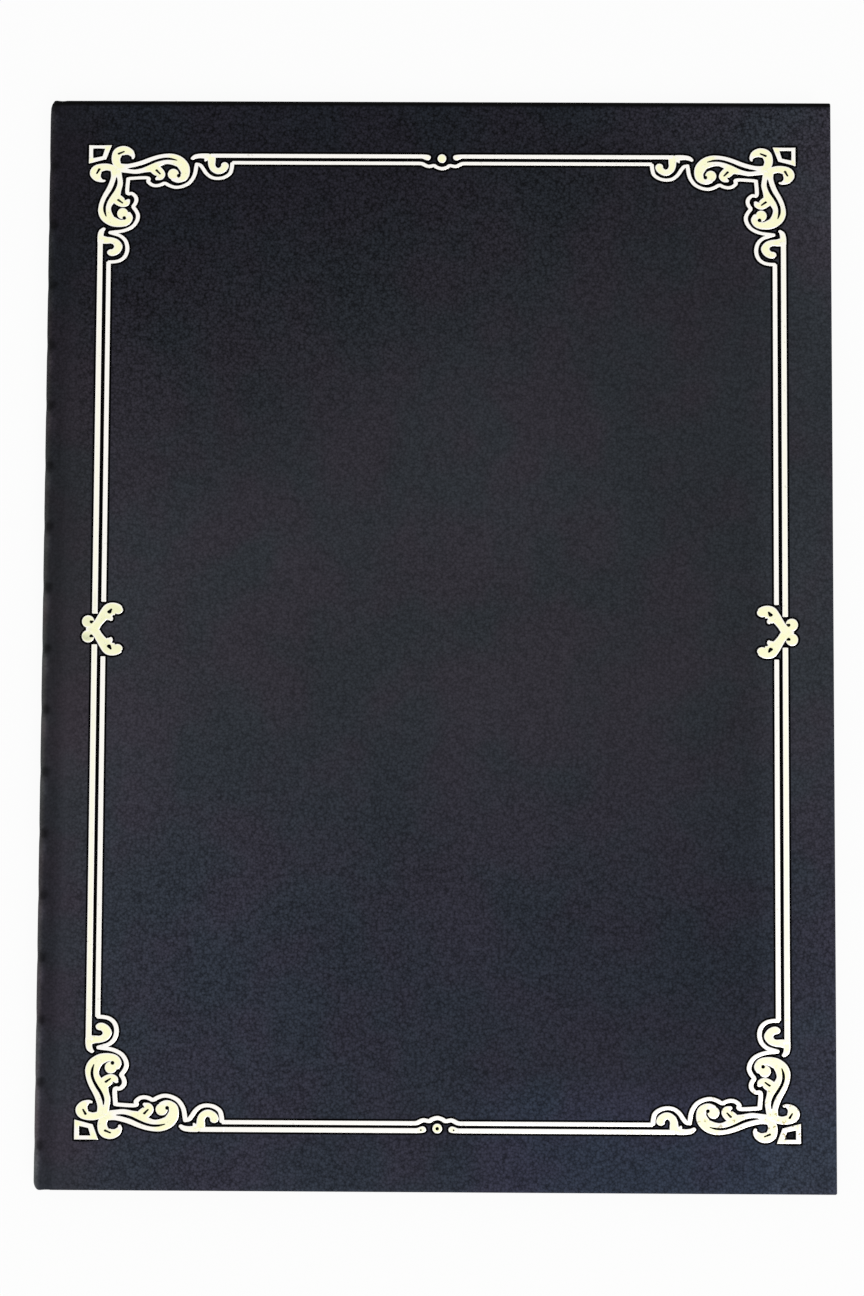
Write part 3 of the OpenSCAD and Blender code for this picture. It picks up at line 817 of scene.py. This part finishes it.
def foil_leaf(settings):
    """Pale gold foil: whiter along its edges, warmer where it is broad, with the leatherette's
    grain showing through and brown worn specks at the tail's fore corner."""
    s = Shader("gold_foil")
    x, y = s.axes()[:2]
    depth = s.attribute("depth")
    broad = s.attribute("girth").step(0.62, 1.0) * depth.step(0.1, 0.42)
    broad = broad * s.noise(420, 3.0, 0.6).step(0.25, 0.65, 0.7, 1.0)
    lobes = abs(x - float(BORDER_MIDDLE[0])).step(KNOT_X, KNOT_X + 1.6 * MM)
    beside = abs(y - KNOT_Y).step(12 * MM, 9 * MM) * x.step(0.05, -0.05, 0.12, 1.0)
    patch = s.noise(170, 2.0, 0.5).step(0.42, 0.62, 0.35, 0.9)
    dull = lobes.most(0.3) * patch * beside * depth.step(0.2, 0.9)
    handled = (x * 0.5 - y).step(0.155, 0.185)
    thin = s.noise(620, 2.0, 0.7).step(0.60, 0.66)
    nicks = s.noise(1300, 1.0, 0.5).step(0.72, 0.76)
    colour = s.mix(broad, settings.pale, settings.warm)
    colour = s.mix(dull, colour, settings.dull)
    colour = s.mix(handled * thin * 0.85, colour, (0.30, 0.24, 0.10))
    colour = s.mix(nicks * 0.3, colour, (0.20, 0.18, 0.12))
    relief = s.bump(s.noise(1800, 2.0, 0.6), 0.15, 0.03 * MM)
    return s.finish(
        Base_Color=colour, Roughness=0.27, Metallic=0.92, Normal=relief, Specular_IOR_Level=0.5,
    )


def pressed_edge(settings, cover):
    """Leatherette pressed down round the foil: near black beside it, painted shadow of the pressed
    groove over leatherette that the pressing darkens, turning back into the cover's colour at its rim."""
    s = Shader("pressed_edge")
    edge = s.attribute("edge")
    colour = s.mix(edge.step(0.9, 1.0), settings.pressed, darker(0.55, cover.lit_middle_colour))
    return s.finish(
        Base_Color=colour, Roughness=edge.step(0.9, 1.0, 0.75, 0.55),
        Normal=s.bump(s.noise(1700, 2.0), 0.2, 0.02 * MM), Specular_IOR_Level=0.02,
    )


def watered_paper(settings):
    """Watered lining paper: fine ribs across it, and the figure that two layers of such ribs
    leave where they were pressed together, which is a sine of a long soft noise."""
    s = Shader("watered_paper")
    drift = s.noise(1.0, 2.5, 0.42, s.squeezed((7.0, 34.0, 7.0)), 0.35)
    watered = drift.waves(13).step(-0.75, 0.9)
    rib = s.axes()[1].waves(1 / (0.45 * MM))
    patch = s.noise(16, 2.0, 0.5).step(0.3, 0.7).step(0, 1, 0.45, 1.0)
    tone = watered * patch * 0.8 + s.noise(500) * 0.2
    return s.finish(
        Base_Color=s.mix(tone, darker(0.86, settings.lining), settings.lining),
        Roughness=0.60 - watered * 0.2, Normal=s.bump(rib, 0.25, 0.03 * MM),
    )


def satin(settings):
    """Satin ribbon: fine warp threads along its length, a slow change of tone, soft sheen."""
    s = Shader("satin_ribbon")
    along, across = s.axes(s.node("ShaderNodeUVMap", uv_map="ribbon").outputs[0])[:2]
    weave = across.waves(42) * 0.7 + along.waves(60) * 0.15
    edge = abs(across - 0.5).step(0.46, 0.485)
    tone = s.noise(90, 3.0) * 0.6 + weave * 0.12
    colour = s.mix(tone, darker(0.78, settings.ribbon), settings.ribbon)
    # Painted shade: the ribbon drawn darker along both edges
    colour = s.mix(edge * 0.5, colour, darker(0.6, settings.ribbon))
    return s.finish(
        Base_Color=colour, Roughness=0.36, Normal=s.bump(weave, 0.3, 0.03 * MM),
        Sheen_Weight=0.3, Sheen_Roughness=0.4, Anisotropic=0.5,
    )


def grey_board(settings):
    """Grey board of pressed waste paper: short fibres and dark flecks."""
    s = Shader("grey_board")
    fibre = s.noise(1.0, 4.0, 0.65, s.squeezed((700.0, 1500.0, 2600.0)), 1.5)
    fleck = s.noise(1100, 1.0).step(0.68, 0.75)
    colour = s.mix(fibre, darker(0.7, settings.board), darker(1.25, settings.board))
    colour = s.mix(fleck * 0.6, colour, (0.05, 0.045, 0.04))
    return s.finish(Base_Color=colour, Roughness=0.9, Normal=s.bump(fibre, 0.4, 0.08 * MM))


def material_once(name, maker, *values):
    """The material of a name, made the first time that it is asked for."""
    return bpy.data.materials.get(name) or maker(*values)


# Operators


class HolderOperator:
    """What the holder's operators share."""

    bl_options = {"REGISTER", "UNDO"}

    @property
    def cover(self):
        return bpy.context.scene.holder_cover

    def leatherette(self):
        """The material of covers and spine."""
        return material_once("charcoal_leatherette", leatherette, self.cover)

    def hollow(self, x):
        """Depth of the groove beside the spine: a raised cosine over a distance from its deepest
        line, which is longer towards the cover than towards the spine."""
        away = x - GROOVE_X
        share = np.clip(away / np.where(away > 0, self.cover.groove_width, GROOVE_RISE), -1, 1)
        return self.cover.groove * np.cos(np.pi / 2 * share) ** 2

    def kept(self, depth):
        """Share of the groove that is left at a depth on the rolled edge: less by the depth's
        share of the leatherette's thickness, so that the board stays covered."""
        return np.clip(1 - depth / WRAP, 0, 1)


class HOLDER_OT_covers(HolderOperator, bpy.types.Operator):
    """Wraps both boards in leatherette, turned in over their edges"""

    bl_idname = "holder.covers"
    bl_label = "Covers"

    def execute(self, context):
        inset, spine_inset, depth = self.section(self.cover.edge_roll)
        low = np.stack([JOIN_X + spine_inset, inset - HEAD], 1)
        high = np.stack([FORE - inset, HEAD - inset], 1)
        radius = (CORNER_R - inset)[:, None] * (1, 0, 0, 1)
        rings = rounded_rings(low, high, radius, side=58)
        level = depth[:, None] + self.kept(depth)[:, None] * self.hollow(rings[..., 0])
        for body, height in (("front_cover", TOP - level), ("back_cover", level)):
            side = body.replace("_cover", "")
            part = ringed(rings, height)
            piece = make_piece(side + "_leatherette", [part], self.leatherette(), sharp=60)
            thicken(piece, 0.8 * WRAP, -1, True)
            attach(piece, body)
            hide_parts(side + "_wrap", side + "_liner")
        return {"FINISHED"}

    def section(self, roll):
        """Section of the wrap, as inset from the cover's outline, inset on the side that joins
        the spine, and depth below the outer face: flat turn-in, quarter circle round the inner
        edge, upright edge, quarter ellipse round the outer edge, and the outer face in to the
        cover's middle line. Beside the spine the outer face starts at the upright edge."""
        turn = np.radians(np.linspace(0, 90, 7))
        inner = 0.6 * MM
        half = (FORE - JOIN_X) / 2
        turn_in = np.array([TURN_IN / MM, 11, 7, 4, 2.5, 1.4, 0.9]) * MM
        edge = inner - inner * np.sin(turn)
        near = roll + np.array([0.3, 0.6, 0.9, 1.2, 1.6, 2.2, 3, 4.5, 7]) * MM
        face = np.concatenate([near, np.linspace(14 * MM, half, 14)])
        inset = np.concatenate([turn_in, edge, roll - roll * np.cos(turn), face])
        spine_face = (face - roll) * half / (half - roll)
        spine_inset = np.concatenate([turn_in, edge, 0 * turn, spine_face])
        inner_depth, fall = CASE - inner + inner * np.cos(turn), EDGE_FALL * (1 - np.sin(turn))
        depth = np.concatenate([0 * turn_in + CASE, inner_depth, fall, 0 * face])
        return inset, spine_inset, depth


class HOLDER_OT_spine(HolderOperator, bpy.types.Operator):
    """Lays the soft spine from cover to cover, in two halves"""

    bl_idname = "holder.spine"
    bl_label = "Spine"

    def execute(self, context):
        for body, sign in (("front_cover", 1), ("back_cover", -1)):
            name = "spine_" + body.replace("_cover", "_half")
            piece = make_piece(name, [self.half(sign)], self.leatherette(), sharp=50)
            middle = (BACK, 0, self.level(3.0 * MM, sign))
            edge = (BACK + 2.6 * MM, 0, self.level(0, sign))
            if sign > 0:
                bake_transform(piece)
                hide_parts("spine_wrap")
            else:
                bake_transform(piece)
                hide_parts("spine_liner")
        return {"FINISHED"}

    def level(self, depth, sign):
        """Height of a depth below a cover's outer face."""
        return TOP - depth if sign > 0 else depth

    def path(self):
        """Section of the outer surface from the spine's middle over its rounded edge and through
        the groove to the cover: a line, a quarter circle and the groove's raised cosine."""
        rise = np.linspace(TOP / 2, SPINE_R, 5)[:-1]
        turn = np.radians(np.linspace(0, 90, 17))
        flat = np.linspace(BACK + SPINE_R, JOIN_X, 20)[1:]
        round_x = BACK + SPINE_R - SPINE_R * np.cos(turn)
        x = np.concatenate([0 * rise + BACK, round_x, flat])
        depth = np.concatenate([rise, SPINE_R - SPINE_R * np.sin(turn), 0 * flat])
        return x, depth + self.hollow(x)

    def half(self, sign):
        """Half of the spine as a band with two faces: each point lies on the path, moved in along
        its normal. The outer face falls to its ends along a quarter ellipse, and is dimpled by
        the sixth power of a raised cosine along it times a bell curve across it."""
        x, depth = self.path()
        ahead = np.stack([np.gradient(x), np.gradient(depth)], 1)
        ahead /= np.linalg.norm(ahead, axis=1, keepdims=True)
        inward = np.stack([-ahead[:, 1], ahead[:, 0]], 1)
        thickness, roll, corner = 1.9 * WRAP, self.cover.edge_roll, 1.4 * MM
        turn = np.radians(np.linspace(0, 80, 7))[1:]
        outer, inner = np.linspace(-1, 1, 301), np.linspace(1, -1, 41)
        edge = roll * np.sin(turn)
        drop = np.minimum(EDGE_FALL * (1 - np.cos(turn)), thickness)
        along = np.concatenate([outer, np.ones(len(turn)), inner, -np.ones(len(turn))])
        beyond = np.concatenate([0 * outer, edge, roll * inner, -edge[::-1]])
        into = np.concatenate([0 * outer, drop, 0 * inner + thickness, drop[::-1]])
        past = np.clip(BACK + corner - x, 0, corner)
        reach = HEAD - (corner - np.sqrt(corner**2 - past**2)) - roll
        y = along * reach[:, None] + beyond
        near = np.exp(-(((x - BACK - 1.3 * MM) / (1.2 * MM)) ** 2))
        wave = 0.5 + 0.5 * np.cos(2 * math.pi * (y - DIMPLE_Y) / self.cover.dimple_pitch)
        outside = into < thickness * 0.9
        lost = self.hollow(x) * np.clip((x - GROOVE_X) / (JOIN_X - GROOVE_X), 0, 1)
        move = into - lost[:, None] * (1 - self.kept(into)) * outside
        move = move + self.cover.dimple * near[:, None] * wave**6 * outside
        flat = np.stack([x, depth], 1)[:, None] + inward[:, None] * move[..., None]
        first = np.arange(len(along))
        return {
            "points": np.stack([flat[..., 0], y, self.level(flat[..., 1], sign)], 2),
            "values": {"out": outside + 0 * y},
            "faces": grid_faces(*y.shape, close_cols=True),
            "caps": [first, y.size - 1 - first],
        }


class HOLDER_OT_linings(HolderOperator, bpy.types.Operator):
    """Lays a card lined with watered paper in each cover"""

    bl_idname = "holder.linings"
    bl_label = "Linings"

    def execute(self, context):
        material = material_once("watered_paper", watered_paper, context.scene.holder_inside)
        turn = np.radians(np.linspace(0, 90, 6))
        soft = 0.22 * MM
        rounded = 1 - soft / LINING * (1 - np.sin(turn))
        rise = np.concatenate([[0, 0, 0, 0], rounded, [1, 1, 1]])[:, None]
        for body, node, seat, face in (
            ("front_cover", "front_lining", TOP - CASE, lining_low.z),
            ("back_cover", "back_lining", CASE, back_lining_high.z),
        ):
            low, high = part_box(node)
            half = (high.x - low.x) / 2
            inset = np.concatenate(
                [[half, half / 2, 8 * MM, 0], soft - soft * np.cos(turn), [3 * MM, 30 * MM, half]]
            )[:, None]
            radius = (0.5 * MM - inset) * np.ones(4)
            corners = np.array(low.xy) + inset, np.array(high.xy) - inset
            rings = rounded_rings(*corners, radius, side=12)
            part = ringed(rings, seat + (face - seat) * rise + 0 * rings[..., 0])
            piece = make_piece(node.replace("lining", "lining_card"), [part], material)
            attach(piece, body)
            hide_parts(node)
        return {"FINISHED"}


class HOLDER_OT_ribbons(HolderOperator, bpy.types.Operator):
    """Stretches a satin ribbon over each corner of the back lining"""

    bl_idname = "holder.ribbons"
    bl_label = "Ribbons"

    def execute(self, context):
        material = material_once("satin_ribbon", satin, context.scene.holder_inside)
        for level, y in (("head", 1), ("tail", -1)):
            for side, x in (("left", -1), ("right", 1)):
                node = f"ribbon_{level}_{side}"
                piece = self.band(node, x, y, context.scene.holder_inside.arch, material)
                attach(piece, "back_cover")
                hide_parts(node)
        return {"FINISHED"}

    def band(self, node, x, y, arch, material):
        """Ribbon as threads side by side at 45 degrees: a thread rises from under the lining's
        edge, turns over it, crosses with a low sine arch and goes down the other edge."""
        low, high = back_lining_low, back_lining_high
        corner = np.array([low.x if x < 0 else high.x, low.y if y < 0 else high.y])
        inward = np.array([-x, -y], float)
        far, near = RIBBON_LEG, RIBBON_LEG - RIBBON_W * math.sqrt(2)
        thread = np.linspace(near, far, 21)[:, None]
        soft = 0.13 * MM
        top = high.z + soft
        turn = np.radians(np.linspace(0, 90, 6))
        cross = np.linspace(0, 1, 41)[None, 1:-1]
        first = np.concatenate([np.full(3, -soft), -soft * np.cos(turn)]) + 0 * thread
        rise = [CASE + 0.06 * MM, CASE + 0.2 * MM, top - 2 * soft]
        first_z = np.concatenate([rise, top - soft + soft * np.sin(turn)]) + 0 * thread
        middle_z = top + arch * np.sin(np.pi * cross) ** 0.8 + 0 * thread
        run = np.concatenate([first, cross * thread, thread - first[:, ::-1]], 1)
        z = np.concatenate([first_z, middle_z, first_z[:, ::-1]], 1)
        crown = 0.03 * MM * (1 - ((thread - near) / (far - near) * 2 - 1) ** 4)
        plane = corner + inward * np.stack([run, thread - run], 2)
        points = np.concatenate([plane, (z + crown)[..., None]], 2)
        part = {"points": points, "faces": grid_faces(*run.shape)}
        piece = make_piece(node.replace("ribbon", "satin"), [part], material, sharp=80)
        self.lay_uv(piece.data, corner, inward, near, far)
        thicken(piece, 0.2 * MM, 0, False)
        return piece

    def lay_uv(self, mesh, corner, inward, near, far):
        """UV map whose first axis runs along the ribbon and whose second runs across it."""
        layer = mesh.uv_layers.new(name="ribbon")
        index = np.empty(len(mesh.loops), int)
        mesh.loops.foreach_get("vertex_index", index)
        co = np.empty(len(mesh.vertices) * 3)
        mesh.vertices.foreach_get("co", co)
        flat = (co.reshape(-1, 3)[index, :2] - corner) * inward
        across = (flat.sum(1) - near) / (far - near)
        along = (flat[:, 0] - flat[:, 1]) / (2 * far) + 0.5
        layer.data.foreach_set("uv", np.stack([along, across], 1).astype(np.float32).ravel())


class HOLDER_OT_boards(HolderOperator, bpy.types.Operator):
    """Gives the boards inside the covers their grey board"""

    bl_idname = "holder.boards"
    bl_label = "Boards"

    def execute(self, context):
        material = material_once("grey_board", grey_board, context.scene.holder_inside)
        for node in ("front_board", "back_board"):
            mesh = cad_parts[node].data
            mesh.materials.clear()
            mesh.materials.append(material)
        return {"FINISHED"}


class HOLDER_OT_foil(HolderOperator, bpy.types.Operator):
    """Stamps the foil border on the front cover, with the edge pressed round it"""

    bl_idname = "holder.foil"
    bl_label = "Foil border"

    def execute(self, context):
        settings = context.scene.holder_foil
        foil = material_once("gold_foil", foil_leaf, settings)
        pressed = material_once("pressed_edge", pressed_edge, settings, self.cover)
        for node, drawn, origin, mirror in self.pieces():
            strokes, lines, hollows = (
                [placed(rows, origin, mirror) for rows in group] for group in drawn
            )
            parts = [self.domed(rows, i) for i, rows in enumerate(strokes)]
            piece = make_piece(node.replace("foil_", "gold_"), parts, foil, sharp=70)
            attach(piece, "front_cover")
            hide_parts(node)
            parts = [self.flat(rows, i, settings.outline) for i, rows in enumerate(strokes)]
            parts += [self.hollow_floor(rows) for rows in hollows]
            parts += [self.line(rows, i) for i, rows in enumerate(lines)]
            piece = make_piece(node.replace("foil_", "pressed_"), parts, pressed, sharp=70)
            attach(piece, "front_cover")
        return {"FINISHED"}

    def domed(self, rows, index):
        """Foil stroke with softly rounded edges, each a hair higher than the one before. It is a
        little thinner than drawn towards the head, where the foil took less well."""
        across = [-1, -0.97, -0.85, -0.6, 0, 0.6, 0.85, 0.97, 1]
        height = np.array([0, 0.5, 0.85, 0.97, 1, 0.97, 0.85, 0.5, 0]) * FOIL_DOME
        level = TOP + FOIL_LIFT + FOIL_STEP * index
        thin = 0.05 * MM * (1 + (rows["middle"][:, 1:] - BORDER_MIDDLE[1]) / BORDER_HALF[1])
        return band(rows, across, height, level, -thin)

    def flat(self, rows, index, margin):
        """Pressed edge under a foil stroke, wider by the outline all round, dark as painted shadow."""
        across = [-1, -0.93, -0.8, 0, 0.8, 0.93, 1]
        height = np.array([0, 0.9, 1, 1, 1, 0.9, 0]) * 0.008 * MM
        return band(rows, across, height, TOP + 0.002 * MM + PRESSED_STEP * index, margin)

    def hollow_floor(self, rows):
        """Leatherette in a hollow shape, black beside the foil as painted shadow and plain in its
        middle.
        """
        across = np.array([-1, -0.6, -0.2, 0, 0.5, 1])
        part = band(rows, across, 0.01 * MM * (1 - np.abs(across)), TOP + 0.004 * MM)
        values = part["values"]
        values["edge"] = 0.9 - 0.5 * across + 0 * values["edge"]
        return part

    def line(self, rows, index):
        """Fine line where the leatherette shows through the foil."""
        height = np.array([0, 1, 1, 1, 0]) * 0.004 * MM
        level = FOIL_TOP - 0.008 * MM + PRESSED_STEP * index
        part = band(rows, [-1, -0.8, 0, 0.8, 1], height, level)
        part["values"]["edge"] = 0 * part["values"]["edge"]
        return part

    def pieces(self):
        """Each piece's node, its rows, the place that they count from, and how they're mirrored."""
        middle, half = BORDER_MIDDLE, BORDER_HALF
        corner, side, knot = corner_rows(), side_rows(), knot_rows()
        for level, y in (("head", -1), ("tail", 1)):
            end, dot = end_rows(level == "tail"), dot_rows(level == "tail")
            for hand, x in (("left", 1), ("right", -1)):
                yield f"foil_corner_{level}_{hand}", corner, middle - half * (x, y), (x, y)
            start = (middle[0], middle[1] - half[1] * y)
            yield f"foil_rule_{level}", end, start, (1, y)
            yield f"foil_dot_{level}", dot, start, (1, y)
        for hand, x in (("left", 1), ("right", -1)):
            yield f"foil_rule_{hand}", side, (middle[0] - half[0] * x, middle[1]), (x, 1)
            yield f"foil_knot_{hand}", knot, (middle[0] - KNOT_X * x, KNOT_Y), (x, 1)


class HOLDER_OT_stage(HolderOperator, bpy.types.Operator):
    """Sets the pale floor, the soft lamp, the room light and the camera"""

    bl_idname = "holder.stage"
    bl_label = "Stage"

    def execute(self, context):
        settings = context.scene.holder_stage
        self.floor()
        self.lamp(settings.key)
        self.room(settings.sky)
        data = bpy.data.cameras.new("camera")
        data.sensor_fit, data.sensor_width, data.sensor_height = "AUTO", 36, 36
        data.lens = settings.lens
        data.dof.use_dof = False
        camera = bpy.data.objects.new("camera", data)
        camera.location = (0.0008, -0.0270, settings.distance)
        camera.rotation_euler = [math.radians(v) for v in (2.826, 0.246, 0.292)]
        context.scene.collection.objects.link(camera)
        context.scene.camera = camera
        context.scene.view_settings.view_transform = "Standard"
        return {"FINISHED"}

    def floor(self):
        """A wide pale floor that the camera sees as white, with the holder's shadow on it."""
        size, level = 6.0, -0.05 * MM
        corners = np.array([[-1, -1], [1, -1], [1, 1], [-1, 1]]) * size
        points = np.column_stack([corners, np.full(4, level)])
        part = {"points": points, "faces": np.array([[0, 1, 2, 3]])}
        s = Shader("floor")
        s.finish(Base_Color=(0.85, 0.85, 0.85), Roughness=0.9, Specular_IOR_Level=0.1)
        glow = s.node("ShaderNodeEmission", {"Color": (1, 1, 1, 1), "Strength": 1.0})
        join = s.node(
            "ShaderNodeMixShader", {0: s.seen() * 0.93, 1: s.surface.outputs[0], 2: glow.outputs[0]}
        )
        s.put(s.tree.nodes["Material Output"].inputs["Surface"], join.outputs[0])
        make_piece("floor", [part], s.material, recalculate=False)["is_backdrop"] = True

    def lamp(self, power):
        """A square soft lamp past the tail's fore corner."""
        data = bpy.data.lights.new("key", "AREA")
        data.shape, data.size, data.energy = "SQUARE", 1.6, power
        lamp = bpy.data.objects.new("key", data)
        lamp.location = (1.1, -1.5, 1.9)
        lamp.rotation_euler = [math.radians(v) for v in (44, 0, 36)]
        bpy.context.scene.collection.objects.link(lamp)

    def room(self, strength):
        """Even light from all round, white where it is seen or mirrored."""
        world = bpy.data.worlds.new("room")
        s = Shader("room", world)
        background = s.tree.nodes["Background"]
        s.put(background.inputs["Strength"], s.seen() * (1 - strength) + strength)
        s.put(background.inputs["Color"], (1, 1, 1, 1))
        bpy.context.scene.world = world


class HOLDER_PT_panel(bpy.types.Panel):
    """Lists the holder's pieces and settings"""

    bl_label = "Certificate Holder"
    bl_idname = "HOLDER_PT_panel"
    bl_space_type = "VIEW_3D"
    bl_region_type = "UI"
    bl_category = "Holder"

    def draw(self, context):
        for operator in OPERATORS:
            self.layout.operator(operator.bl_idname)
        for name, kind in SETTINGS.items():
            box = self.layout.box()
            for key in kind.__annotations__:
                box.prop(getattr(context.scene, name), key)


SETTINGS = {
    "holder_cover": HolderCoverSettings,
    "holder_foil": HolderFoilSettings,
    "holder_inside": HolderInsideSettings,
    "holder_stage": HolderStageSettings,
}
OPERATORS = [
    HOLDER_OT_stage, HOLDER_OT_boards, HOLDER_OT_covers, HOLDER_OT_spine, HOLDER_OT_linings,
    HOLDER_OT_ribbons, HOLDER_OT_foil,
]


def register():
    for name, kind in SETTINGS.items():
        bpy.utils.register_class(kind)
        setattr(bpy.types.Scene, name, bpy.props.PointerProperty(type=kind))
    for kind in OPERATORS + [HOLDER_PT_panel]:
        bpy.utils.register_class(kind)


def unregister():
    for kind in [HOLDER_PT_panel] + OPERATORS[::-1]:
        bpy.utils.unregister_class(kind)
    for name, kind in SETTINGS.items():
        delattr(bpy.types.Scene, name)
        bpy.utils.unregister_class(kind)


def main():
    """Builds every piece in order."""
    register()
    bpy.ops.holder.stage()
    bpy.ops.holder.boards()
    bpy.ops.holder.covers()
    bpy.ops.holder.spine()
    bpy.ops.holder.linings()
    bpy.ops.holder.ribbons()
    bpy.ops.holder.foil()
    sizes = {"cad": cad_box, "visual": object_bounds()}
    {k: [list(v[0]), list(v[1])] for k, v in sizes.items()}


if __name__ == "__main__":
    main()
